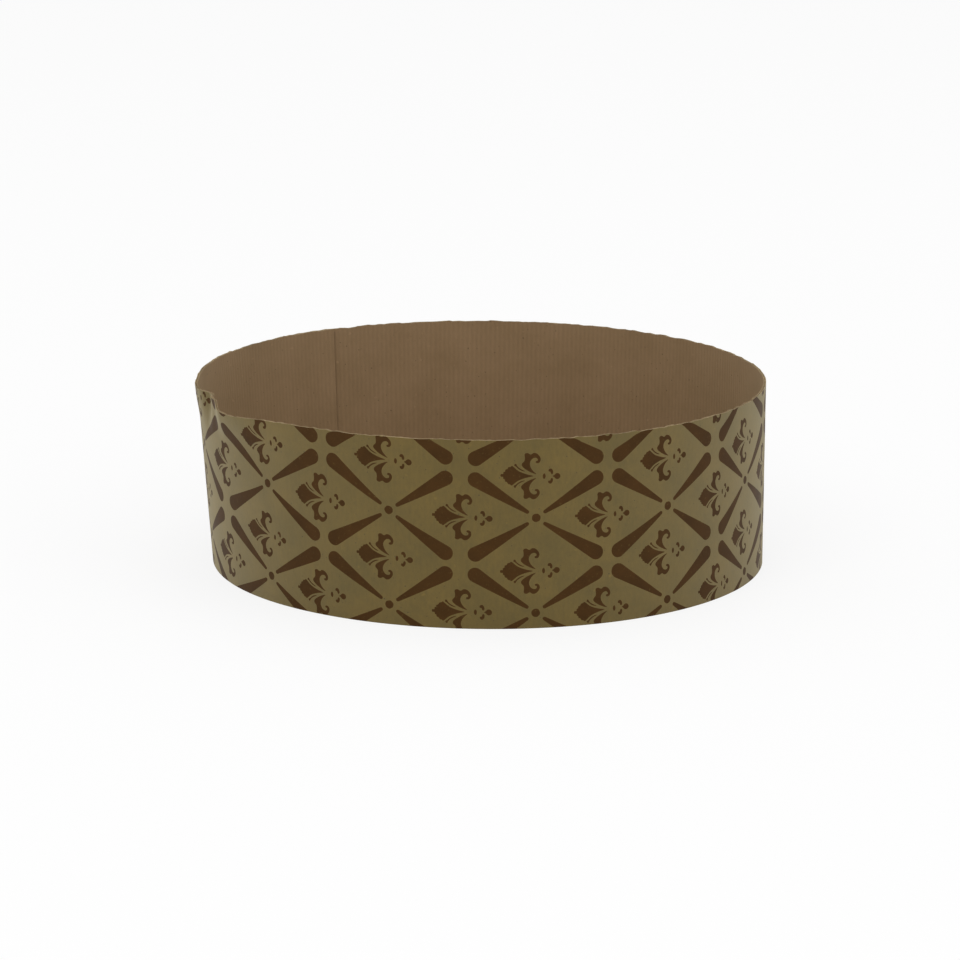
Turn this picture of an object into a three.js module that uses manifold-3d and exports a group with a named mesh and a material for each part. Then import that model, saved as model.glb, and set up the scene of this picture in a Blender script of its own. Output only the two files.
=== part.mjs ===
// Round paper baking mold: a strip of micro-flute board bent into a slightly flared ring and
// glued at a lap, with a paper base whose edge is pleated upwards and glued inside the ring.
// Millimetres, +Z up. The origin is the centre of the underside, on the surface it stands on.
// An azimuth is measured from the front, which faces -Y, towards the right, which is +X.
import * as THREE from "three";
import { mergeVertices } from "three/addons/utils/BufferGeometryUtils.js";
import Module from "manifold-3d";

// Ring
const rimDiameter = 185;
const footDiameter = 180.5;
const wallHeight = 60;
const boardThickness = 0.8;

// Lap of the ring's two ends, behind on the left
const lapAzimuth = -140;
const lapWidth = 16;
const lapRampWidth = 6;
const cutEdgeWidth = 0.12;

// Crumple in the rim, on the left. Places are millimetres along the rim, towards the front, from
// the crumple's azimuth: a lip bent outwards, a narrow dent, and a bulge whose edge has sunk.
const crumpleAzimuth = -64.3;
const crumpleDepth = 14;
const lip = { place: -26, width: 9, outward: 1 };
const dent = { place: -13, width: 3.2, inward: 2.6 };
const bulge = { rise: 9, fall: 21, outward: 2.4, drop: 2 };

// Base
const baseThickness = 0.5;
const baseClearance = 0.3;
const baseBendRadius = 2;
const flangeHeight = 11;
const pleatCount = 56;
const pleatDepth = 0.9;

// Steam vents through the base, in rings
const ventDiameter = 3;
const ventRings = [
  { radius: 26, count: 6 },
  { radius: 56, count: 12 },
];

// Fineness of the faceted surfaces
const wallColumns = 144;
const crumpleColumns = 18;
const wallRows = 7;
const pointsPerPleat = 4;
const bendSteps = 2;
const ventSides = 12;

const degrees = Math.PI / 180;
const wasm = await Module();
wasm.setup();

// Radius of the ring's plain outer face at a height above the foot.
function plainRadius(height) {
  return (footDiameter + ((rimDiameter - footDiameter) * height) / wallHeight) / 2;
}

function pointAt(azimuth, radius, height) {
  const angle = azimuth * degrees;
  return [radius * Math.sin(angle), -radius * Math.cos(angle), height];
}

function smoothStep(share) {
  const s = Math.min(1, Math.max(0, share));
  return s * s * (3 - 2 * s);
}

// Signed distance along the rim from one azimuth to another, the short way round.
function arcFrom(start, azimuth) {
  const turn = ((((azimuth - start + 180) % 360) + 360) % 360) - 180;
  return (turn * degrees * rimDiameter) / 2;
}

// How much of the crumple reaches down to a height.
function crumpleShare(height) {
  return smoothStep(1 - (wallHeight - height) / crumpleDepth);
}

function hump(along, { place, width }) {
  return Math.exp(-(((along - place) / width) ** 2));
}

function bulgeShare(along) {
  const beyond = Math.max(0, along - bulge.rise / 2) / bulge.fall;
  return smoothStep(along / bulge.rise + 0.5) * Math.exp(-(beyond ** 2));
}

// How far the crumple pushes the ring out, or in where it is below zero.
function crumplePush(azimuth, height) {
  const along = arcFrom(crumpleAzimuth, azimuth);
  const push =
    lip.outward * hump(along, lip) -
    dent.inward * hump(along, dent) +
    bulge.outward * bulgeShare(along);
  return push * crumpleShare(height);
}

function crumpleDrop(azimuth, height) {
  return bulge.drop * bulgeShare(arcFrom(crumpleAzimuth, azimuth)) * crumpleShare(height);
}

// The strip's inner end starts at the lap's left edge. Its outer end climbs one board thickness
// just before that, runs over the inner end, and stops at the lap's right edge.
const lapLeft = -lapWidth / 2;
const lapRight = lapWidth / 2;

function outerStep(azimuth) {
  const along = arcFrom(lapAzimuth, azimuth);
  if (along > lapRight) return 0;
  return boardThickness * smoothStep((along - lapLeft + lapRampWidth) / lapRampWidth);
}

function innerStep(azimuth) {
  const along = arcFrom(lapAzimuth, azimuth);
  if (along > lapLeft) return 0;
  return boardThickness * smoothStep((along - lapLeft + lapRampWidth) / lapRampWidth);
}

// Azimuths of the ring's columns: even steps, closer in the crumple, with the lap's ramp and both
// cut ends put in exactly.
function wallAzimuths() {
  const perMillimetre = 360 / (Math.PI * rimDiameter);
  const step = 360 / wallColumns;
  const lapMarks = [
    lapLeft - lapRampWidth,
    lapLeft - (2 * lapRampWidth) / 3,
    lapLeft - lapRampWidth / 3,
    lapLeft,
    lapLeft + cutEdgeWidth,
    lapRight,
    lapRight + cutEdgeWidth,
  ].map((along) => lapAzimuth + along * perMillimetre);
  const crumpleStart = dent.place - 2 * dent.width;
  const crumpleMarks = Array.from(
    { length: crumpleColumns + 1 },
    (_, i) => crumpleStart + ((bulge.rise - crumpleStart) * i) / crumpleColumns,
  ).map((along) => crumpleAzimuth + along * perMillimetre);
  const marks = [...lapMarks, ...crumpleMarks];
  const even = Array.from({ length: wallColumns }, (_, i) => i * step - 180).filter((azimuth) =>
    marks.every((mark) => Math.abs(mark - azimuth) > step / 4),
  );
  return [...even, ...marks].sort((a, b) => a - b);
}

// Heights of the ring's rows, closer together towards the rim, where the crumple is.
function wallHeights() {
  return Array.from(
    { length: wallRows + 1 },
    (_, i) => wallHeight * Math.sin(((i / wallRows) * Math.PI) / 2),
  );
}

// A closed surface from a loop of rows, each a ring of as many points. Where the first and the
// last row are single points on the axis, the loop ends there, and otherwise it joins up.
function closedRows(rows) {
  const positions = [];
  const indices = [];
  const starts = rows.map((row) => {
    const start = positions.length / 3;
    row.forEach((point) => positions.push(...point));
    return start;
  });
  const onAxis = rows[0].length === 1;
  const bands = onAxis ? rows.length - 1 : rows.length;
  for (let band = 0; band < bands; band++) {
    const lower = band;
    const upper = (band + 1) % rows.length;
    const count = Math.max(rows[lower].length, rows[upper].length);
    for (let i = 0; i < count; i++) {
      const j = (i + 1) % count;
      const a = starts[lower] + (i % rows[lower].length);
      const b = starts[lower] + (j % rows[lower].length);
      const c = starts[upper] + (j % rows[upper].length);
      const d = starts[upper] + (i % rows[upper].length);
      if (a !== b) indices.push(a, b, c);
      if (c !== d) indices.push(a, c, d);
    }
  }
  const geometry = new THREE.BufferGeometry();
  geometry.setAttribute("position", new THREE.Float32BufferAttribute(positions, 3));
  geometry.setIndex(indices);
  return geometry;
}

// One face of the ring, row by row, at a depth inside the board's outer face.
function wallFace(azimuths, depth, step) {
  return wallHeights().map((height) =>
    azimuths.map((azimuth) => {
      const radius = plainRadius(height) - depth + step(azimuth) + crumplePush(azimuth, height);
      return pointAt(azimuth, radius, height - crumpleDrop(azimuth, height));
    }),
  );
}

function sideWall() {
  const azimuths = wallAzimuths();
  const outer = wallFace(azimuths, 0, outerStep);
  const inner = wallFace(azimuths, boardThickness, innerStep);
  return closedRows([...outer, ...inner.reverse()]);
}

// The flange's face towards the ring. Pleats stand in from it, deeper towards the flange's edge.
function flangeRadius(azimuth, height) {
  const wave = (1 - Math.cos(azimuth * degrees * pleatCount)) / 2;
  const share = smoothStep(height / flangeHeight);
  const seat = plainRadius(height) - boardThickness - baseClearance;
  return seat - pleatDepth * wave * share;
}

// One face of the base from the axis to the flange's edge, set in by a share of its thickness.
function baseFace(azimuths, inset) {
  const bend = baseBendRadius - inset;
  const bendRows = Array.from({ length: bendSteps + 1 }, (_, i) => {
    const turn = ((i / bendSteps) * Math.PI) / 2;
    return azimuths.map((azimuth) => {
      const height = baseBendRadius - bend * Math.cos(turn);
      const centre = flangeRadius(azimuth, height) - baseBendRadius;
      return pointAt(azimuth, centre + bend * Math.sin(turn), height);
    });
  });
  const flangeRows = [0.5, 1].map((share) =>
    azimuths.map((azimuth) => {
      const height = baseBendRadius + share * (flangeHeight - baseBendRadius);
      return pointAt(azimuth, flangeRadius(azimuth, height) - inset, height);
    }),
  );
  return [[pointAt(0, 0, inset)], ...bendRows, ...flangeRows];
}

function solidFrom(geometry) {
  const bare = geometry.clone();
  bare.deleteAttribute("normal");
  bare.deleteAttribute("uv");
  const merged = mergeVertices(bare, 1e-4);
  return new wasm.Manifold(
    new wasm.Mesh({
      numProp: 3,
      vertProperties: new Float32Array(merged.attributes.position.array),
      triVerts: new Uint32Array(merged.index.array),
    }),
  );
}

function geometryFrom(solid) {
  const mesh = solid.getMesh();
  const geometry = new THREE.BufferGeometry();
  geometry.setAttribute("position", new THREE.BufferAttribute(mesh.vertProperties, 3));
  geometry.setIndex(new THREE.BufferAttribute(mesh.triVerts, 1));
  return geometry;
}

function ventDrill(radius, azimuth) {
  const drill = new THREE.CylinderGeometry(
    ventDiameter / 2,
    ventDiameter / 2,
    4 * baseThickness,
    ventSides,
  );
  drill.rotateX(Math.PI / 2);
  drill.translate(...pointAt(azimuth, radius, baseThickness / 2));
  return solidFrom(drill);
}

function baseDisc() {
  const count = pleatCount * pointsPerPleat;
  const azimuths = Array.from({ length: count }, (_, i) => (i * 360) / count);
  const outside = baseFace(azimuths, 0);
  const inside = baseFace(azimuths, baseThickness).reverse();
  let solid = solidFrom(closedRows([...outside, ...inside]));
  for (const { radius, count: vents } of ventRings)
    for (let i = 0; i < vents; i++) solid = solid.subtract(ventDrill(radius, (i * 360) / vents));
  return geometryFrom(solid);
}

function paper(color) {
  return new THREE.MeshStandardMaterial({ color, roughness: 0.8, metalness: 0 });
}

const printedKraft = paper(0x71633d);
const plainKraft = paper(0x8a6e48);

const mold = new THREE.Group();
mold.name = "paper_baking_mold";

const wall = new THREE.Mesh(sideWall(), printedKraft);
wall.name = "side_wall";
mold.add(wall);

const base = new THREE.Mesh(baseDisc(), plainKraft);
base.name = "base_disc";
mold.add(base);

export default mold;
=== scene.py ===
"""Looks of the round paper baking mold: printed fluted board, pleated paper base, pale studio.

Shapes are worked out in millimetres and turned into metres as each mesh is made. An azimuth is
measured in degrees from the front, which faces -Y, towards the right, which is +X.
"""

import math
import random

import bpy
from mathutils import Matrix, Vector, noise
from mathutils.geometry import delaunay_2d_cdt


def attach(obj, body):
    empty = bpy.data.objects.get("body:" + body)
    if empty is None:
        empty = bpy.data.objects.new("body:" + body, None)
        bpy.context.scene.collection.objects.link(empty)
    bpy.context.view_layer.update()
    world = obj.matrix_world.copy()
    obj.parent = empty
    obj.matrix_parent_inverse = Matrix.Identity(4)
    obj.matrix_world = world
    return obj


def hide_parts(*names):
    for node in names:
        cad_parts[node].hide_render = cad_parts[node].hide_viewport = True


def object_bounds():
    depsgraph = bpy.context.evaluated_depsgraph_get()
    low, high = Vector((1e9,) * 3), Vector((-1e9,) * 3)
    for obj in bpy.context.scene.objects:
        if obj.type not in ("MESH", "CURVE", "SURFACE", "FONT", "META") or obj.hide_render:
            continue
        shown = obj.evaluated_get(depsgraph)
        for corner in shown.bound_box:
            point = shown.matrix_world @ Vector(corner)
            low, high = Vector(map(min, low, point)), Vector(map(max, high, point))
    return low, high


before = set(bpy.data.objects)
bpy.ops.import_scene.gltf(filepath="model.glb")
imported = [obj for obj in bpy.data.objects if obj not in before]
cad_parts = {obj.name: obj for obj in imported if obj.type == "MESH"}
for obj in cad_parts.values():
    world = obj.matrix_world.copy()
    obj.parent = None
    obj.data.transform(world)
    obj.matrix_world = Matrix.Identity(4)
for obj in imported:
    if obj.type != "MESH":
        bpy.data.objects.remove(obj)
cad_low, cad_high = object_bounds()
random.seed(20)

MM = 0.001

# Ring, across and up as the frame says, and otherwise as in the CAD model
RIM_DIAMETER = round(2 * cad_high[1] / MM, 1)
WALL_HEIGHT = round(cad_high[2] / MM, 1)
FOOT_DIAMETER = 180.5
BOARD_THICKNESS = 0.8
LAP_AZIMUTH = -140.0
LAP_WIDTH = 16.0
LAP_RAMP_WIDTH = 6.0

# Crumple in the rim, a little softer than in the CAD model. Places are along the rim, towards the
# front, from the crumple's azimuth.
CRUMPLE_AZIMUTH = -64.3
CRUMPLE_DEPTH = 14.0
LIP_PLACE, LIP_WIDTH, LIP_OUTWARD = -26.0, 9.0, 1.0
DENT_PLACE, DENT_WIDTH, DENT_INWARD = -13.0, 3.6, 2.1
BULGE_RISE, BULGE_FALL, BULGE_OUTWARD, BULGE_DROP = 10.0, 21.0, 2.2, 2.0

# Roughness of the cut rim: how far its edge wanders up and down, over which length, how far down
# the strip that fades, and the fractal noise's fall, step and number of octaves
FRAY = 0.32
FRAY_LENGTH = 2.6
FRAY_DEPTH = 2.5
FRAY_DETAIL = (0.6, 2.0, 2)

# How far the rim is pulled to the left of a true round, as soft card is
RIM_SKEW = 2.27

# Layers of the board, the wave between them, and how far it shows through the liner inside
OUTER_LINER = 0.18
INNER_LINER = 0.16
MEDIUM_THICKNESS = 0.09
FLUTE_PITCH = 1.6
FLUTE_GHOST = 0.035
GLUE_GAP = 0.02

# Slow unevenness of the board: how far it reaches, and its length along and up the strip
COCKLE = 0.05
COCKLE_LENGTH, COCKLE_HEIGHT = 8.0, 13.0

# Base, as in the CAD model
BASE_THICKNESS = 0.5
BASE_CLEARANCE = 0.3
BASE_BEND_RADIUS = 2.0
FLANGE_HEIGHT = 11.0
PLEAT_COUNT = 56
PLEAT_DEPTH = 0.9
PLEAT_SHARPNESS = 1.4
CREASE_LENGTH = 10.0
CREASE_HEIGHT = 0.3
BASE_COCKLE = 0.12
BASE_COCKLE_LENGTH = 16.0
BASE_COCKLES_AROUND = 5.0
BASE_COCKLE_FADE = 6.0
VENT_DIAMETER = 3.0
VENT_RINGS = ((26.0, 6), (56.0, 12))

# Print, straight on the sheet that the strip is cut from as a shallow arc. Where the arc's
# middle comes on the ring, the print is level, and towards the lap it climbs.
PRINT_MIDDLE_AZIMUTH = 41.85
DOT_PLACE = -51.6
DOT_PITCH = 45.65
DOT_HEIGHT = 34.75
PITCH_HEIGHT = 30.31
PRINT_SLANT = -0.029
PRINT_ROWS = range(-3, 2)
DOT_RADIUS = 1.36
DOT_SIDES = 15
DOT_ROUGHNESS = (0.95, 1.04)
STROKE_FAT_RADIUS = 2.35
STROKE_FAT_OFFSET = (4.15, 3.3)
STROKE_THIN_RADIUS = 0.58
STROKE_THIN_OFFSET = (2.75, 1.9)

# The print repeats in two columns. In the even and in the odd ones, this is how much further the
# strokes on the right of a dot reach, and how far the lilies lie off the lattice. Each lily also
# has a small turn, in degrees, and drift of its own.
STROKE_REACHES = (0.7, -0.9)
LILY_ABOVE_DOT_SHIFTS = ((-1.6, -1.8), (-1.6, 0.3))
LILY_BESIDE_DOT_SHIFTS = ((-1.1, -0.15), (0.3, -0.15))
LILY_TURN = 1.5
LILY_DRIFT = 0.2

# Shifts of the print off its lattice: rolled over the rim by the crumple, raised beside it from one
# height to another, and slipped to the left beyond an azimuth on both sides of the front, as the
# ring isn't quite round
ROLLED_SHARE = 1.5
RAISED_AZIMUTH, RAISED_WIDTH, RAISED_BY = -33.0, 11.0, 1.4
RAISED_FROM, RAISED_TO = 30.0, 55.0
SLIP, SLIP_FROM, SLIP_TO = 2.9, 50.0, 66.0

# Fineness of the meshes: longest steps, numbers of sides and rows, and rings in the base's floor.
# Ink of less than SMALLEST_INK square millimetres is left out, and points closer together than the
# welds are joined.
LONGEST_SIDE = 1.2
OUTER_COLUMN, OUTER_ROW = 2.2, 3.2
INNER_COLUMN, INNER_ROW = FLUTE_PITCH / 4, 5.0
MEDIUM_COLUMN = FLUTE_PITCH / 8
MEDIUM_HEIGHTS = (0.0, 20.0, 44.0, 49.0, 54.0, 57.0, WALL_HEIGHT)
STROKE_FAT_SIDES, STROKE_THIN_SIDES = 12, 4
SMALLEST_INK = 0.01
PRINT_WELD, BASE_WELD = 1e-4, 1e-5
NORMAL_STEP = 0.05
STEPS_PER_PLEAT = 10
FLOOR_RINGS = (4.0, 12.0, 20.0, 32.0, 40.0, 48.0, 64.0, 70.0, 75.0)
FLOOR_SIDES_PER_MM = 1.2
VENT_SIDES = 24
VENT_COLLAR_RADIUS, VENT_COLLAR_SIDES = 3.6, 12

# Share of a vent's radius within which the middle of each triangle lies that fills it
VENT_FILL = 0.98

# Longest steps of the base outside its floor, and the rows in its bend
CREASE_ROW, FLANGE_ROW, BEND_ROWS = 3.0, 1.8, 5

# Camera, fitted to the rim, the foot and the print in a photograph taken as 960 by 960 pixels
PICTURE_PIXELS = 960.0
FOCAL_PIXELS = 3953.8
MIDDLE_PIXEL = (488.0, 465.9)
CAMERA_ELEVATION = 13.41
CAMERA_ROLL = 0.25
CAMERA_DISTANCE = 1295.0

MEAN_RADIUS = (RIM_DIAMETER + FOOT_DIAMETER) / 4
LAP_LEFT = -LAP_WIDTH / 2
LAP_HALF_ANGLE = math.degrees(LAP_WIDTH / RIM_DIAMETER)
STRIP_START = LAP_AZIMUTH - LAP_HALF_ANGLE
STRIP_END = LAP_AZIMUTH + LAP_HALF_ANGLE + 360

# Places in the noise that the cockles and the fray are read from
COCKLE_SEED = 3.1
FRAY_SEED = 9.3
BASE_COCKLE_SEED = 7.0


def smooth_step(share):
    s = min(1.0, max(0.0, share))
    return s * s * (3 - 2 * s)


def plain_radius(height):
    return (FOOT_DIAMETER + (RIM_DIAMETER - FOOT_DIAMETER) * height / WALL_HEIGHT) / 2


def polar(azimuth, radius, height):
    angle = math.radians(azimuth)
    return Vector((radius * math.sin(angle), -radius * math.cos(angle), height))


def arc_from(start, azimuth):
    turn = (azimuth - start + 180) % 360 - 180
    return math.radians(turn) * RIM_DIAMETER / 2


def crumple_share(height):
    return smooth_step(1 - (WALL_HEIGHT - height) / CRUMPLE_DEPTH)


def bulge_share(along):
    beyond = max(0.0, along - BULGE_RISE / 2) / BULGE_FALL
    return smooth_step(along / BULGE_RISE + 0.5) * math.exp(-(beyond**2))


def crumple_push(azimuth, height):
    along = arc_from(CRUMPLE_AZIMUTH, azimuth)
    push = LIP_OUTWARD * math.exp(-(((along - LIP_PLACE) / LIP_WIDTH) ** 2))
    push -= DENT_INWARD * math.exp(-(((along - DENT_PLACE) / DENT_WIDTH) ** 2))
    push += BULGE_OUTWARD * bulge_share(along)
    return push * crumple_share(height)


def crumple_drop(azimuth, height):
    return BULGE_DROP * bulge_share(arc_from(CRUMPLE_AZIMUTH, azimuth)) * crumple_share(height)


def lap_step(azimuth):
    """How far the strip's outer end has climbed over its inner end."""
    along = math.radians(azimuth - 360 - LAP_AZIMUTH) * RIM_DIAMETER / 2
    climb = (along - LAP_LEFT + LAP_RAMP_WIDTH) / LAP_RAMP_WIDTH
    return (BOARD_THICKNESS + GLUE_GAP) * smooth_step(climb)


def skew(azimuth, height):
    """How much wider the ring is on the left, and narrower on the right, towards the rim."""
    return -RIM_SKEW * math.sin(math.radians(azimuth)) * height / WALL_HEIGHT


def strip_azimuth(u):
    return math.degrees(u / MEAN_RADIUS)


def strip_length(azimuth):
    return math.radians(azimuth) * MEAN_RADIUS


def fray(u, v):
    """How far the cut rim wanders up or down, which fades out below it."""
    share = max(0.0, 1 - (WALL_HEIGHT - v) / FRAY_DEPTH)
    return FRAY * share * noise.fractal(Vector((u / FRAY_LENGTH, FRAY_SEED, 0.0)), *FRAY_DETAIL)


def strip_point(u, v, depth):
    """A point of the bent strip: u along it and v up it, in its flat layout, and depth inwards."""
    azimuth = strip_azimuth(u)
    cockle = COCKLE * noise.noise(Vector((u / COCKLE_LENGTH, v / COCKLE_HEIGHT, COCKLE_SEED)))
    radius = plain_radius(v) + skew(azimuth, v) + lap_step(azimuth)
    radius += crumple_push(azimuth, v) + cockle - depth
    return polar(azimuth, radius, v - crumple_drop(azimuth, v) + fray(u, v))


def normal_of(surface, u, v):
    """Unit normal of surface(u, v), pointing the way that u crossed with v does."""
    du = surface(u + NORMAL_STEP, v) - surface(u - NORMAL_STEP, v)
    dv = surface(u, v + NORMAL_STEP) - surface(u, v - NORMAL_STEP)
    return du.cross(dv).normalized()


def border_edges(faces):
    """Edges that one face alone uses, in that face's direction."""
    used = set()
    for face in faces:
        for a, b in zip(face, face[1:] + face[:1]):
            used.add((a, b))
    return [edge for edge in used if (edge[1], edge[0]) not in used]


def closed_sheet(name, points, faces, front, back, face_slots=None, edge_slot=0):
    """A thin closed solid. points are flat (u, v), and front and back turn them into places.

    Faces run anticlockwise in (u, v), and front's normal is u crossed with v. face_slots are the
    material slots of the front's faces, and edge_slot is that of the sheet's edge.
    """
    count = len(points)
    vertices = [front(u, v) * MM for u, v in points]
    vertices += [back(u, v) * MM for u, v in points]
    front_normals = [normal_of(front, u, v) for u, v in points]
    back_normals = [-normal_of(back, u, v) for u, v in points]
    slots = list(face_slots or [0] * len(faces))
    all_faces = [tuple(face) for face in faces]
    all_faces += [tuple(count + i for i in reversed(face)) for face in faces]
    all_slots = slots + [0] * len(faces)
    rim = border_edges([list(face) for face in faces])
    all_faces += [(b, a, count + a, count + b) for a, b in rim]
    all_slots += [edge_slot] * len(rim)

    mesh = bpy.data.meshes.new(name)
    mesh.from_pydata(vertices, [], all_faces)
    mesh.polygons.foreach_set("use_smooth", [True] * len(all_faces))
    mesh.polygons.foreach_set("material_index", all_slots)
    layout = mesh.uv_layers.new(name="flat")
    normals = []
    for index, polygon in enumerate(mesh.polygons):
        plain = polygon.normal.copy()
        for loop in polygon.loop_indices:
            vertex = mesh.loops[loop].vertex_index
            u, v = points[vertex % count]
            layout.data[loop].uv = (u * MM, v * MM)
            if index < len(faces):
                normals.append(front_normals[vertex])
            elif index < 2 * len(faces):
                normals.append(back_normals[vertex - count])
            else:
                normals.append(plain)
    mesh.normals_split_custom_set(normals)
    piece = bpy.data.objects.new(name, mesh)
    bpy.context.scene.collection.objects.link(piece)
    return piece


def grid(us, vs):
    """Points and quads of a plain grid."""
    points = [(u, v) for v in vs for u in us]
    wide = len(us)
    faces = []
    for j in range(len(vs) - 1):
        for i in range(wide - 1):
            a = j * wide + i
            faces.append((a, a + 1, a + wide + 1, a + wide))
    return points, faces


def spread(start, end, step):
    count = max(1, math.ceil((end - start) / step))
    return [start + (end - start) * i / count for i in range(count + 1)]


# Ornament: a heraldic lily on its side, tip to the left. Each outline below is its upper half.
LILY_PETAL = [
    (-9.5, 0.0), (-9.3, 0.5), (-8.6, 0.35), (-8.6, 1.1), (-8.05, 1.2), (-8.05, 1.9),
    (-7.4, 2.0), (-7.1, 2.7), (-6.45, 2.75), (-6.0, 3.2), (-5.3, 2.6), (-4.3, 1.7),
    (-3.0, 1.05), (-1.4, 0.5), (0.5, 0.1), (0.7, 0.0),
]
LILY_SIDE_PETAL = [
    (1.8, 0.5), (0.3, 0.95), (-1.2, 1.7), (-2.4, 2.5), (-3.1, 3.3), (-2.95, 4.0),
    (-2.2, 4.6), (-2.1, 5.6), (-2.3, 7.0), (-1.3, 7.3), (-0.6, 6.8), (-0.1, 6.8),
    (0.5, 7.35), (1.5, 7.2), (2.3, 6.5), (2.8, 5.6), (2.75, 4.7), (2.2, 4.05),
    (1.3, 4.1), (1.25, 4.7), (1.9, 4.8), (1.9, 5.4), (1.4, 5.8), (0.6, 5.75),
    (-0.1, 5.2), (-0.55, 4.3), (-0.5, 3.3), (0.0, 2.2), (0.8, 1.3),
]
LILY_STAMEN = [
    (-5.35, 3.1), (-5.2, 3.75), (-4.7, 3.75), (-4.5, 3.2), (-3.9, 2.55), (-3.0, 2.0),
    (-1.6, 1.35), (-3.1, 1.6), (-4.2, 2.3), (-4.8, 2.95),
]
LILY_BAR = [(3.55, 0.0), (3.65, 0.5), (3.9, 0.85), (4.2, 0.85), (4.4, 0.5), (4.5, 0.0)]
LILY_LEAF = [
    (5.3, 1.5), (5.4, 2.2), (6.2, 2.45), (6.7, 1.9), (6.9, 1.0), (6.5, 0.5), (6.1, 0.8),
    (6.0, 1.4), (5.7, 1.4),
]
LILY_BUD = [(6.6, 0.0), (7.2, 0.3), (7.6, 0.8), (8.2, 1.0), (8.9, 0.7), (9.2, 0.0)]


def rounded(outline):
    """Cuts each corner of a closed outline once."""
    result = []
    for (au, av), (bu, bv) in zip(outline, outline[1:] + outline[:1]):
        result.append((au * 0.75 + bu * 0.25, av * 0.75 + bv * 0.25))
        result.append((au * 0.25 + bu * 0.75, av * 0.25 + bv * 0.75))
    return result


def flipped(outline):
    return [(u, -v) for u, v in reversed(outline)]


def both_halves(half):
    lower = [(u, -v) for u, v in reversed(half) if v]
    return half + lower


LILY_OUTLINES = [
    rounded(both_halves(LILY_PETAL)),
    rounded(LILY_SIDE_PETAL),
    rounded(flipped(LILY_SIDE_PETAL)),
    rounded(LILY_STAMEN),
    rounded(flipped(LILY_STAMEN)),
    rounded(both_halves(LILY_BAR)),
    rounded(LILY_LEAF),
    rounded(flipped(LILY_LEAF)),
    rounded(both_halves(LILY_BUD)),
]


def lily(centre_x, centre_y, shift):
    tilt = math.radians(random.uniform(-LILY_TURN, LILY_TURN))
    middle_x = centre_x + shift[0] + random.uniform(-LILY_DRIFT, LILY_DRIFT)
    middle_y = centre_y + shift[1] + random.uniform(-LILY_DRIFT, LILY_DRIFT)
    cos, sin = math.cos(tilt), math.sin(tilt)
    return [
        [(middle_x + x * cos - y * sin, middle_y + x * sin + y * cos) for x, y in outline]
        for outline in LILY_OUTLINES
    ]


def arc_points(centre_x, centre_y, radius, start, sweep, steps):
    turns = [start + sweep * i / steps for i in range(steps + 1)]
    return [(centre_x + radius * math.cos(t), centre_y + radius * math.sin(t)) for t in turns]


def dot(centre_x, centre_y):
    outline = []
    sweep = 2 * math.pi * DOT_SIDES / (DOT_SIDES + 1)
    for x, y in arc_points(0, 0, DOT_RADIUS, 0, sweep, DOT_SIDES):
        share = random.uniform(*DOT_ROUGHNESS)
        outline.append((centre_x + x * share, centre_y + y * share))
    return outline


def stroke(dot_x, dot_y, side, rise, further):
    """A tapered stroke from beside a dot to beside the open crossing on that side of it."""
    thin_x = dot_x + side * STROKE_THIN_OFFSET[0]
    thin_y = dot_y + rise * STROKE_THIN_OFFSET[1]
    fat_x = dot_x + side * (DOT_PITCH / 2 - STROKE_FAT_OFFSET[0] + further)
    fat_y = dot_y + rise * (PITCH_HEIGHT / 2 - STROKE_FAT_OFFSET[1])
    heading = math.atan2(fat_y - thin_y, fat_x - thin_x)
    reach = math.hypot(fat_x - thin_x, fat_y - thin_y)
    lean = math.acos((STROKE_THIN_RADIUS - STROKE_FAT_RADIUS) / reach)
    rest = 2 * (math.pi - lean)
    fat_end = (STROKE_FAT_RADIUS, heading - lean, 2 * lean, STROKE_FAT_SIDES)
    thin_end = (STROKE_THIN_RADIUS, heading + lean, rest, STROKE_THIN_SIDES)
    return arc_points(fat_x, fat_y, *fat_end) + arc_points(thin_x, thin_y, *thin_end)


def on_strip(x, y):
    """The strip's (u, v) for a place on the sheet, which the strip crosses as a shallow arc."""
    sheet_radius = MEAN_RADIUS / ((RIM_DIAMETER - FOOT_DIAMETER) / 2 / WALL_HEIGHT)
    x += PRINT_SLANT * (y - WALL_HEIGHT / 3)
    up = sheet_radius + y - WALL_HEIGHT / 2
    u = strip_length(PRINT_MIDDLE_AZIMUTH) + math.atan2(x, up) * sheet_radius
    return u, math.hypot(x, up) - sheet_radius + WALL_HEIGHT / 2


def slipped(u, v):
    """Where a place of the print lies once it has slipped to the left on both sides."""
    share = smooth_step((abs(strip_azimuth(u)) - SLIP_FROM) / (SLIP_TO - SLIP_FROM))
    return u - SLIP * share, v


def uncrushed(u, v):
    """Where a place of the print lies by the crumple, which rolled part of it over the rim."""
    azimuth = strip_azimuth(u)
    rolled = ROLLED_SHARE * crumple_drop(azimuth, v + crumple_drop(azimuth, v))
    across = (azimuth - RAISED_AZIMUTH) / RAISED_WIDTH
    share = smooth_step((v - RAISED_FROM) / (RAISED_TO - RAISED_FROM))
    return u, v + rolled + RAISED_BY * share * math.exp(-(across**2))


def finely(outline, longest):
    """The same outline with its long sides parted, so that it can follow the bent strip."""
    result = []
    for a, b in zip(outline, outline[1:] + outline[:1]):
        parts = max(1, math.ceil(math.dist(a, b) / longest))
        result += [tuple(a[k] + (b[k] - a[k]) * i / parts for k in (0, 1)) for i in range(parts)]
    return result


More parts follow.
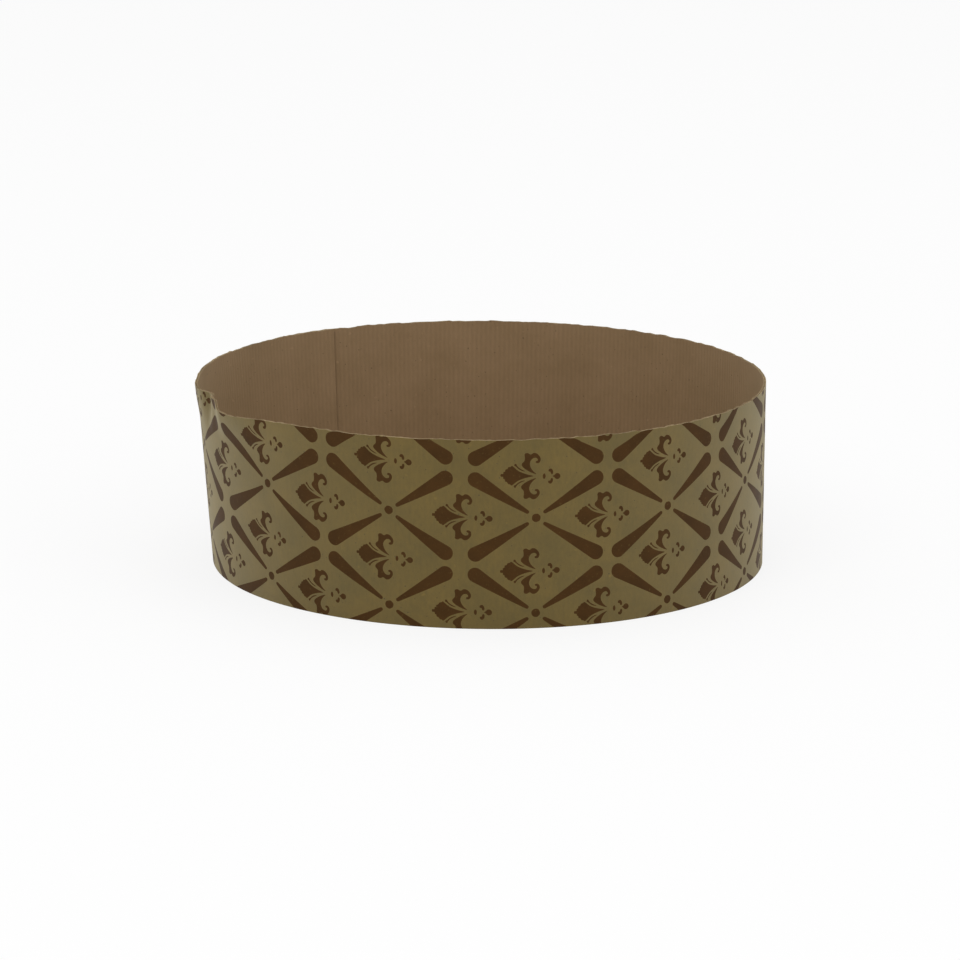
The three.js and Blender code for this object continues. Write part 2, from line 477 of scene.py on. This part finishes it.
def print_outlines():
    """Outlines of all the ink on the flat strip, those that its edges cut included."""
    outlines = []
    reach = math.pi * MEAN_RADIUS + LAP_WIDTH
    first = math.floor((-reach - DOT_PLACE) / DOT_PITCH) - 1
    last = math.ceil((reach - DOT_PLACE) / DOT_PITCH) + 1
    for column in range(first, last + 1):
        for row in PRINT_ROWS:
            y = DOT_HEIGHT + row * PITCH_HEIGHT
            x = DOT_PLACE + column * DOT_PITCH
            outlines.append(dot(x, y))
            for rise in (-1, 1):
                outlines.append(stroke(x, y, -1, rise, 0.0))
                outlines.append(stroke(x, y, 1, rise, STROKE_REACHES[column % 2]))
            outlines += lily(x, y + PITCH_HEIGHT / 2, LILY_ABOVE_DOT_SHIFTS[column % 2])
            outlines += lily(x + DOT_PITCH / 2, y, LILY_BESIDE_DOT_SHIFTS[column % 2])
    return [
        [uncrushed(*slipped(*on_strip(x, y))) for x, y in finely(outline, LONGEST_SIDE)]
        for outline in outlines
    ]


def clipped(outline, low_u, high_u, low_v, high_v):
    """The part of an outline inside a rectangle, or nothing."""
    def cut(points, axis, limit, keep_above):
        kept = []
        for a, b in zip(points, points[1:] + points[:1]):
            a_in = (a[axis] >= limit) == keep_above
            b_in = (b[axis] >= limit) == keep_above
            if a_in:
                kept.append(a)
            if a_in != b_in:
                share = (limit - a[axis]) / (b[axis] - a[axis])
                kept.append(tuple(a[k] + share * (b[k] - a[k]) for k in (0, 1)))
        return kept

    points = cut(outline, 0, low_u, True)
    points = cut(points, 0, high_u, False) if points else points
    points = cut(points, 1, low_v, True) if points else points
    points = cut(points, 1, high_v, False) if points else points
    return points if len(points) > 2 else []


def area(outline):
    """Area inside an outline, below zero where it runs clockwise."""
    sides = zip(outline, outline[1:] + outline[:1])
    return sum(a[0] * b[1] - b[0] * a[1] for a, b in sides) / 2


def printed_layout():
    """Points and triangles of the whole flat strip, and which triangles are inked."""
    start, end = strip_length(STRIP_START), strip_length(STRIP_END)
    columns = spread(start, end, OUTER_COLUMN)
    rows = spread(0.0, WALL_HEIGHT, OUTER_ROW)
    vertices = [Vector((u, v)) for v in rows for u in columns]
    wide = len(columns)
    edges = []
    for j in (0, len(rows) - 1):
        edges += [(j * wide + i, j * wide + i + 1) for i in range(wide - 1)]
    for i in (0, wide - 1):
        edges += [(j * wide + i, (j + 1) * wide + i) for j in range(len(rows) - 1)]
    shapes = []
    for outline in print_outlines():
        inside = clipped(outline, start, end, 0.0, WALL_HEIGHT)
        if not inside or abs(area(inside)) < SMALLEST_INK:
            continue
        if area(inside) < 0:
            inside.reverse()
        first = len(vertices)
        vertices += [Vector(p) for p in inside]
        shapes.append(list(range(first, len(vertices))))
    flat, _, faces, _, _, sources = delaunay_2d_cdt(
        vertices, edges, shapes, 0, PRINT_WELD, True
    )
    points = [(p.x, p.y) for p in flat]
    kept, inked = [], []
    for face, source in zip(faces, sources):
        middle_u = sum(points[i][0] for i in face) / len(face)
        middle_v = sum(points[i][1] for i in face) / len(face)
        if not (start < middle_u < end and 0 < middle_v < WALL_HEIGHT):
            continue
        if area([points[i] for i in face]) < 0:
            face = face[::-1]
        kept.append(tuple(face))
        inked.append(1 if source else 0)
    return points, kept, inked


WHITE = (1.0, 1.0, 1.0, 1.0)
BLACK = (0.0, 0.0, 0.0, 1.0)
SHEEN_TINT = (1.0, 0.9, 0.6, 1.0)

# Noise in the paper and the ink, in features per metre
CLOUDS = 60.0
FIBRES = 900.0
FLECKS = 1300.0
SCUFFS = 420.0
INK_CLOUDS = 150.0
INK_PORES = 1100.0

# Length of one band of the wave texture at a scale of 1
WAVE_LENGTH = 0.31416

# Sockets of a colour mix node, which share their names with those of its other kinds
MIX_FIRST, MIX_SECOND, MIX_RESULT = 6, 7, 2


def new_material(name, roughness, specular=0.2):
    """A material whose node tree has one Principled BSDF, and that node."""
    material = bpy.data.materials.new(name)
    material.use_nodes = True
    shader = material.node_tree.nodes["Principled BSDF"]
    shader.inputs["Roughness"].default_value = roughness
    shader.inputs["Specular IOR Level"].default_value = specular
    return material, shader


def linear(r, g, b):
    """Linear colour from display values of 0 to 255."""
    def channel(value):
        c = value / 255
        return c / 12.92 if c <= 0.04045 else ((c + 0.055) / 1.055) ** 2.4

    return (channel(r), channel(g), channel(b), 1.0)


def node(material, kind, **inputs):
    made = material.node_tree.nodes.new(kind)
    for name, value in inputs.items():
        made.inputs[name.replace("_", " ")].default_value = value
    return made


def link(material, source, target):
    material.node_tree.links.new(source, target)


def flat_noise(material, scale, detail=2.0, stretch=(1, 1, 1)):
    """Noise over the flat layout, in features per metre."""
    layout = node(material, "ShaderNodeUVMap")
    layout.uv_map = "flat"
    mapping = node(material, "ShaderNodeMapping")
    mapping.inputs["Scale"].default_value = stretch
    link(material, layout.outputs["UV"], mapping.inputs["Vector"])
    made = node(material, "ShaderNodeTexNoise", Scale=scale, Detail=detail, Roughness=0.6)
    link(material, mapping.outputs["Vector"], made.inputs["Vector"])
    return made.outputs["Fac"]


def ramp(material, source, low, high, low_colour, high_colour):
    made = node(material, "ShaderNodeValToRGB")
    made.color_ramp.elements[0].position = low
    made.color_ramp.elements[0].color = low_colour
    made.color_ramp.elements[1].position = high
    made.color_ramp.elements[1].color = high_colour
    link(material, source, made.inputs["Fac"])
    return made.outputs["Color"]


def mixed(material, blend, share, first, second):
    made = node(material, "ShaderNodeMix")
    made.data_type = "RGBA"
    made.blend_type = blend
    if isinstance(share, float):
        made.inputs["Factor"].default_value = share
    else:
        link(material, share, made.inputs["Factor"])
    for value, socket in ((first, made.inputs[MIX_FIRST]), (second, made.inputs[MIX_SECOND])):
        if isinstance(value, tuple):
            socket.default_value = value
        else:
            link(material, value, socket)
    return made.outputs[MIX_RESULT]


def grey(value):
    return (value, value, value, 1.0)


def scaled(colour, share):
    return tuple(channel * share for channel in colour[:3]) + (1.0,)


def flute_shade_bands(material):
    """Bands over the flat layout, one for each flute, which place the painted shade of the flute
    ribs.
    """
    layout = node(material, "ShaderNodeUVMap")
    layout.uv_map = "flat"
    scale = WAVE_LENGTH / (FLUTE_PITCH * MM)
    wave = node(material, "ShaderNodeTexWave", Scale=scale, Distortion=0.6)
    wave.inputs["Detail"].default_value = 1.0
    wave.wave_type = "BANDS"
    wave.bands_direction = "X"
    link(material, layout.outputs["UV"], wave.inputs["Vector"])
    return wave.outputs["Fac"]


def paper_material(name, dark, light, roughness, grain=0.9, flutes=0.0, sheen=0.0):
    """Kraft paper: cloudy tone, fibre grain, rare flecks and scuffs and, where asked, darker bands
    of painted shade for the flute ribs under the liner.
    """
    material, shader = new_material(name, roughness)
    clouds = flat_noise(material, CLOUDS, 4.0)
    colour = ramp(material, clouds, 0.32, 0.68, dark, light)
    fibre = flat_noise(material, FIBRES, 3.0, (1.0, 0.45, 1.0))
    shade = ramp(material, fibre, 0.25, 0.75, grey(grain), WHITE)
    colour = mixed(material, "MULTIPLY", 1.0, colour, shade)
    fleck = flat_noise(material, FLECKS, 0.0)
    fleck_mask = ramp(material, fleck, 0.15, 0.2, WHITE, BLACK)
    colour = mixed(material, "MIX", fleck_mask, colour, scaled(dark, 0.45))
    scuff = flat_noise(material, SCUFFS, 1.0)
    scuff_mask = ramp(material, scuff, 0.72, 0.8, BLACK, grey(0.35))
    colour = mixed(material, "MIX", scuff_mask, colour, scaled(light, 1.5))
    # Painted shade: darker bands, one for each flute and as deep as flutes says, stand in for the
    # shade of the ribs under the liner
    if flutes:
        wave = flute_shade_bands(material)
        flute_rib_shade = ramp(material, wave, 0.0, 1.0, grey(1 - flutes), WHITE)
        colour = mixed(material, "MULTIPLY", 1.0, colour, flute_rib_shade)
    bump = node(material, "ShaderNodeBump", Strength=0.25, Distance=0.12 * MM)
    link(material, fibre, bump.inputs["Height"])
    link(material, bump.outputs["Normal"], shader.inputs["Normal"])
    link(material, colour, shader.inputs["Base Color"])
    if sheen:
        shader.inputs["Sheen Tint"].default_value = SHEEN_TINT
        shader.inputs["Sheen Weight"].default_value = sheen
        shader.inputs["Sheen Roughness"].default_value = 0.7
    return material


def ink_material(name, dark, light, paper):
    """Flat ink on kraft: uneven density, with the paper's grain showing through in places."""
    material, shader = new_material(name, roughness=0.6, specular=0.1)
    clouds = flat_noise(material, INK_CLOUDS, 4.0)
    colour = ramp(material, clouds, 0.3, 0.7, dark, light)
    pores = flat_noise(material, INK_PORES, 2.0)
    mask = ramp(material, pores, 0.62, 0.74, BLACK, grey(0.35))
    colour = mixed(material, "MIX", mask, colour, paper)
    bump = node(material, "ShaderNodeBump", Strength=0.15, Distance=0.08 * MM)
    link(material, pores, bump.inputs["Height"])
    link(material, bump.outputs["Normal"], shader.inputs["Normal"])
    link(material, colour, shader.inputs["Base Color"])
    shader.inputs["Sheen Tint"].default_value = SHEEN_TINT
    shader.inputs["Sheen Weight"].default_value = 0.06
    shader.inputs["Sheen Roughness"].default_value = 0.25
    return material


kraft_outside = paper_material(
    "kraft_outside",
    dark=linear(82, 66, 15),
    light=linear(96, 76, 20),
    roughness=0.62,
    grain=0.79,
    # flutes: depth of the painted shade bands of the flute ribs
    flutes=0.02,
    sheen=0.28,
)
ink = ink_material(
    "brown_ink", dark=linear(58, 37, 9), light=linear(67, 43, 13), paper=linear(96, 79, 40)
)
kraft_inside = paper_material(
    "kraft_inside",
    dark=linear(134, 109, 78),
    light=linear(143, 117, 86),
    roughness=0.66,
    grain=0.92,
    # flutes: depth of the painted shade bands of the flute ribs
    flutes=0.07,
    sheen=0.1,
)
cut_edge = paper_material(
    "cut_edge", dark=linear(146, 126, 94), light=linear(184, 162, 124), roughness=0.8, grain=0.7
)
base_paper = paper_material(
    "base_paper",
    dark=linear(124, 98, 68),
    light=linear(142, 114, 82),
    roughness=0.55,
    grain=0.88,
    sheen=0.1,
)


def on_root(piece, node_name, slot_name, *materials):
    """Gives a piece its materials, hangs it on the root body and hides the CAD node that it takes
    the place of. slot_name is not used.
    """
    for material in materials:
        piece.data.materials.append(material)
    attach(piece, "root")
    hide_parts(node_name)


def make_outer_liner():
    points, faces, inked = printed_layout()
    piece = closed_sheet(
        "outer_liner",
        points,
        faces,
        lambda u, v: strip_point(u, v, 0.0),
        lambda u, v: strip_point(u, v, OUTER_LINER),
        face_slots=[2 if inky else 1 for inky in inked],
    )
    on_root(piece, "side_wall", "printed_kraft", cut_edge, kraft_outside, ink)


def make_inner_liner():
    """The liner inside, with the flutes showing faintly through it as ribs."""
    start, end = strip_length(STRIP_START), strip_length(STRIP_END)
    columns = spread(start, end, INNER_COLUMN)
    rows = spread(0.0, WALL_HEIGHT, INNER_ROW)
    points, faces = grid(columns, rows)

    def inside(u, v):
        rib = FLUTE_GHOST * (0.5 + 0.5 * math.cos(2 * math.pi * u / FLUTE_PITCH))
        return strip_point(u, v, BOARD_THICKNESS - rib)

    piece = closed_sheet(
        "inner_liner",
        points,
        faces,
        lambda u, v: strip_point(u, v, BOARD_THICKNESS - INNER_LINER),
        inside,
    )
    on_root(piece, "side_wall", "printed_kraft", cut_edge)
    back = len(faces)
    piece.data.materials.append(kraft_inside)
    for polygon in piece.data.polygons[back : 2 * back]:
        polygon.material_index = 1


def make_medium():
    """The fluted layer between the liners, which shows along the cut rim and foot."""
    start, end = strip_length(STRIP_START), strip_length(STRIP_END)
    columns = spread(start, end, MEDIUM_COLUMN)
    points, faces = grid(columns, MEDIUM_HEIGHTS)
    low = OUTER_LINER + MEDIUM_THICKNESS / 2
    high = BOARD_THICKNESS - INNER_LINER - MEDIUM_THICKNESS / 2
    middle, swing = (low + high) / 2, (high - low) / 2

    def depth(u):
        return middle + swing * math.cos(2 * math.pi * u / FLUTE_PITCH)

    piece = closed_sheet(
        "fluted_medium",
        points,
        faces,
        lambda u, v: strip_point(u, v, depth(u) - MEDIUM_THICKNESS / 2),
        lambda u, v: strip_point(u, v, depth(u) + MEDIUM_THICKNESS / 2),
    )
    on_root(piece, "side_wall", "printed_kraft", cut_edge)


FLOOR_RADIUS = plain_radius(0) - BOARD_THICKNESS - BASE_CLEARANCE - BASE_BEND_RADIUS
BEND_LENGTH = BASE_BEND_RADIUS * math.pi / 2
BLANK_RADIUS = FLOOR_RADIUS + BEND_LENGTH + FLANGE_HEIGHT - BASE_BEND_RADIUS
PLEAT_TONE = [random.uniform(0.75, 1.0) for _ in range(PLEAT_COUNT)]


def pleat(azimuth):
    """How far the pleating stands in at an azimuth, from 0 between pleats to 1 on a ridge."""
    phase = (azimuth / 360 * PLEAT_COUNT) % PLEAT_COUNT
    ridge = 1 - abs(2 * (phase % 1) - 1)
    return PLEAT_TONE[int(phase)] * ridge**PLEAT_SHARPNESS


def base_point(radius, azimuth, inset):
    """A point of the base from its place on the flat blank, set in by part of its thickness."""
    fold = pleat(azimuth)
    along, around = radius / BASE_COCKLE_LENGTH, math.radians(azimuth) * BASE_COCKLES_AROUND
    cockle = BASE_COCKLE * (0.5 + 0.5 * noise.noise(Vector((along, around, BASE_COCKLE_SEED))))
    if radius <= FLOOR_RADIUS:
        crease = CREASE_HEIGHT * fold * smooth_step(1 - (FLOOR_RADIUS - radius) / CREASE_LENGTH)
        quiet = smooth_step((FLOOR_RADIUS - radius) / BASE_COCKLE_FADE)
        return polar(azimuth, radius, inset + crease + cockle * quiet)
    bend = BASE_BEND_RADIUS - inset
    turn = min(math.pi / 2, (radius - FLOOR_RADIUS) / BASE_BEND_RADIUS)
    over = max(0.0, radius - FLOOR_RADIUS - BEND_LENGTH)
    height = BASE_BEND_RADIUS - bend * math.cos(turn) + over
    lean = plain_radius(height) - plain_radius(0) + skew(azimuth, height)
    depth = PLEAT_DEPTH * fold * smooth_step(height / FLANGE_HEIGHT)
    crease = CREASE_HEIGHT * fold * (1 - turn / (math.pi / 2))
    reach = FLOOR_RADIUS + bend * math.sin(turn) + lean - depth
    return polar(azimuth, reach, height + crease)


def base_layout():
    """Points, as azimuth and radius on the blank, and faces, with the vents left open."""
    around = PLEAT_COUNT * STEPS_PER_PLEAT
    azimuths = [360 * i / around for i in range(around)]
    flat, edges = [], []

    def loop(centre, radius, sides):
        first = len(flat)
        for i in range(sides):
            turn = 2 * math.pi * i / sides
            x = centre[0] + radius * math.sin(turn)
            y = centre[1] - radius * math.cos(turn)
            flat.append(Vector((x, y)))
        return first

    inner_edge = FLOOR_RADIUS - CREASE_LENGTH
    outer_first = loop((0, 0), inner_edge, around)
    edges += [(outer_first + i, outer_first + (i + 1) % around) for i in range(around)]
    for radius in FLOOR_RINGS:
        loop((0, 0), radius, max(8, int(radius * FLOOR_SIDES_PER_MM)))
    vents = []
    for ring_radius, count in VENT_RINGS:
        for k in range(count):
            turn = 2 * math.pi * k / count
            centre = (ring_radius * math.sin(turn), -ring_radius * math.cos(turn))
            first = loop(centre, VENT_DIAMETER / 2, VENT_SIDES)
            edges += [(first + i, first + (i + 1) % VENT_SIDES) for i in range(VENT_SIDES)]
            vents.append(centre)
            loop(centre, VENT_COLLAR_RADIUS, VENT_COLLAR_SIDES)
    found, _, triangles, origins, _, _ = delaunay_2d_cdt(flat, edges, [], 0, BASE_WELD, True)
    points = []
    for p in found:
        points.append((math.degrees(math.atan2(p.x, -p.y)) % 360, math.hypot(p.x, p.y)))
    faces = []
    filled = VENT_DIAMETER / 2 * VENT_FILL
    for face in triangles:
        middle = sum((found[i] for i in face), Vector((0.0, 0.0))) / len(face)
        if any((middle - Vector(centre)).length < filled for centre in vents):
            continue
        if area([tuple(found[i]) for i in face]) < 0:
            face = face[::-1]
        faces.append(tuple(face))
    start_row = [None] * around
    for index, sources in enumerate(origins):
        for source in sources:
            if outer_first <= source < outer_first + around:
                start_row[source - outer_first] = index
    radii = spread(inner_edge, FLOOR_RADIUS, CREASE_ROW)[1:]
    radii += spread(FLOOR_RADIUS, FLOOR_RADIUS + BEND_LENGTH, BEND_LENGTH / BEND_ROWS)[1:]
    radii += spread(FLOOR_RADIUS + BEND_LENGTH, BLANK_RADIUS, FLANGE_ROW)[1:]
    previous = start_row
    for radius in radii:
        first = len(points)
        points += [(azimuth, radius) for azimuth in azimuths]
        current = list(range(first, first + around))
        for i in range(around):
            j = (i + 1) % around
            faces.append((previous[i], current[i], current[j], previous[j]))
        previous = current
    return points, faces


def make_base():
    """The base. Its flat layout is the view from above, sheared so that the flange has one too."""
    points, faces = base_layout()
    turned = [tuple(reversed(face)) for face in faces]
    piece = closed_sheet(
        "pleated_base",
        points,
        turned,
        lambda azimuth, radius: base_point(radius, azimuth, 0.0),
        lambda azimuth, radius: base_point(radius, azimuth, BASE_THICKNESS),
        edge_slot=1,
    )
    layout = piece.data.uv_layers["flat"].data
    for item in piece.data.loops:
        place = piece.data.vertices[item.vertex_index].co
        layout[item.index].uv = (place.x + place.z * 0.5, place.y + place.z)
    on_root(piece, "base_disc", "plain_kraft", base_paper, cut_edge)


make_outer_liner()
make_inner_liner()
make_medium()
make_base()


def seen_by_camera(material_nodes, links):
    """1 for camera, glossy and transmission rays, and 0 for those that light the scene."""
    path = material_nodes.new("ShaderNodeLightPath")
    first = material_nodes.new("ShaderNodeMath")
    first.operation = "MAXIMUM"
    second = material_nodes.new("ShaderNodeMath")
    second.operation = "MAXIMUM"
    links.new(path.outputs["Is Camera Ray"], first.inputs[0])
    links.new(path.outputs["Is Glossy Ray"], first.inputs[1])
    links.new(first.outputs[0], second.inputs[0])
    links.new(path.outputs["Is Transmission Ray"], second.inputs[1])
    return second.outputs[0]


PAGE_WHITE = linear(253, 253, 253)
WORLD_STRENGTH = 0.8
FLOOR_GLOW = 0.82
FLOOR_HALF = 20.0
FLOOR_HEIGHT = -0.05 * MM


def make_world():
    world = bpy.data.worlds.new("studio")
    bpy.context.scene.world = world
    world.use_nodes = True
    nodes, links = world.node_tree.nodes, world.node_tree.links
    lit = nodes["Background"]
    lit.inputs["Color"].default_value = WHITE
    lit.inputs["Strength"].default_value = WORLD_STRENGTH
    page = nodes.new("ShaderNodeBackground")
    page.inputs["Color"].default_value = PAGE_WHITE
    page.inputs["Strength"].default_value = 1.0
    mix = nodes.new("ShaderNodeMixShader")
    links.new(seen_by_camera(nodes, links), mix.inputs[0])
    links.new(lit.outputs[0], mix.inputs[1])
    links.new(page.outputs[0], mix.inputs[2])
    links.new(mix.outputs[0], nodes["World Output"].inputs["Surface"])


def make_floor():
    mesh = bpy.data.meshes.new("floor")
    signs = ((-1, -1), (1, -1), (1, 1), (-1, 1))
    corners = [(x * FLOOR_HALF, y * FLOOR_HALF, FLOOR_HEIGHT) for x, y in signs]
    mesh.from_pydata(corners, [], [(0, 1, 2, 3)])
    floor = bpy.data.objects.new("floor", mesh)
    bpy.context.scene.collection.objects.link(floor)
    material, shader = new_material("pale_floor", roughness=0.9, specular=0.1)
    shader.inputs["Base Color"].default_value = linear(248, 248, 248)
    nodes, links = material.node_tree.nodes, material.node_tree.links
    glow = nodes.new("ShaderNodeEmission")
    glow.inputs["Color"].default_value = PAGE_WHITE
    share = nodes.new("ShaderNodeMath")
    share.operation = "MULTIPLY"
    share.inputs[1].default_value = FLOOR_GLOW
    mix = nodes.new("ShaderNodeMixShader")
    links.new(seen_by_camera(nodes, links), share.inputs[0])
    links.new(share.outputs[0], mix.inputs[0])
    links.new(shader.outputs[0], mix.inputs[1])
    links.new(glow.outputs[0], mix.inputs[2])
    links.new(mix.outputs[0], nodes["Material Output"].inputs["Surface"])
    mesh.materials.append(material)


LAMP_TARGET = (0, 0, 0.03)


def softbox(name, place, size, power):
    """A square lamp of a size in metres and a power in watts, turned towards the mold."""
    data = bpy.data.lights.new(name, "AREA")
    data.shape = "SQUARE"
    data.size = size
    data.energy = power
    lamp = bpy.data.objects.new(name, data)
    bpy.context.scene.collection.objects.link(lamp)
    lamp.location = place
    lamp.rotation_mode = "QUATERNION"
    lamp.rotation_quaternion = (Vector(LAMP_TARGET) - Vector(place)).to_track_quat("-Z", "Y")


def make_camera():
    """A camera in front of the mold, slightly rolled, with the mold's middle at its own pixel."""
    middle = Vector((0, 0, WALL_HEIGHT / 2))
    rise = math.radians(CAMERA_ELEVATION)
    back = Vector((0, -math.cos(rise), math.sin(rise)))
    right = Vector((1, 0, 0))
    up = back.cross(right)
    place = middle + back * CAMERA_DISTANCE
    per_pixel = CAMERA_DISTANCE / FOCAL_PIXELS
    aim = middle + right * (PICTURE_PIXELS / 2 - MIDDLE_PIXEL[0]) * per_pixel
    aim += up * (MIDDLE_PIXEL[1] - PICTURE_PIXELS / 2) * per_pixel
    data = bpy.data.cameras.new("camera")
    data.sensor_width = 36.0
    data.lens = data.sensor_width * FOCAL_PIXELS / PICTURE_PIXELS
    data.clip_end = 100.0
    camera = bpy.data.objects.new("camera", data)
    bpy.context.scene.collection.objects.link(camera)
    turn = (aim - place).to_track_quat("-Z", "Y").to_matrix().to_4x4()
    turn = turn @ Matrix.Rotation(math.radians(CAMERA_ROLL), 4, "Z")
    camera.matrix_world = Matrix.Translation(place * MM) @ turn
    bpy.context.scene.camera = camera


make_world()
make_floor()
softbox("key", place=(-0.9, -1.7, 1.7), size=1.4, power=15.0)
softbox("fill", place=(1.6, -1.1, 1.1), size=1.4, power=6.0)
softbox("top", place=(0.3, 0.6, 2.2), size=1.2, power=5.0)
make_camera()

bpy.context.scene.view_settings.view_transform = "Standard"
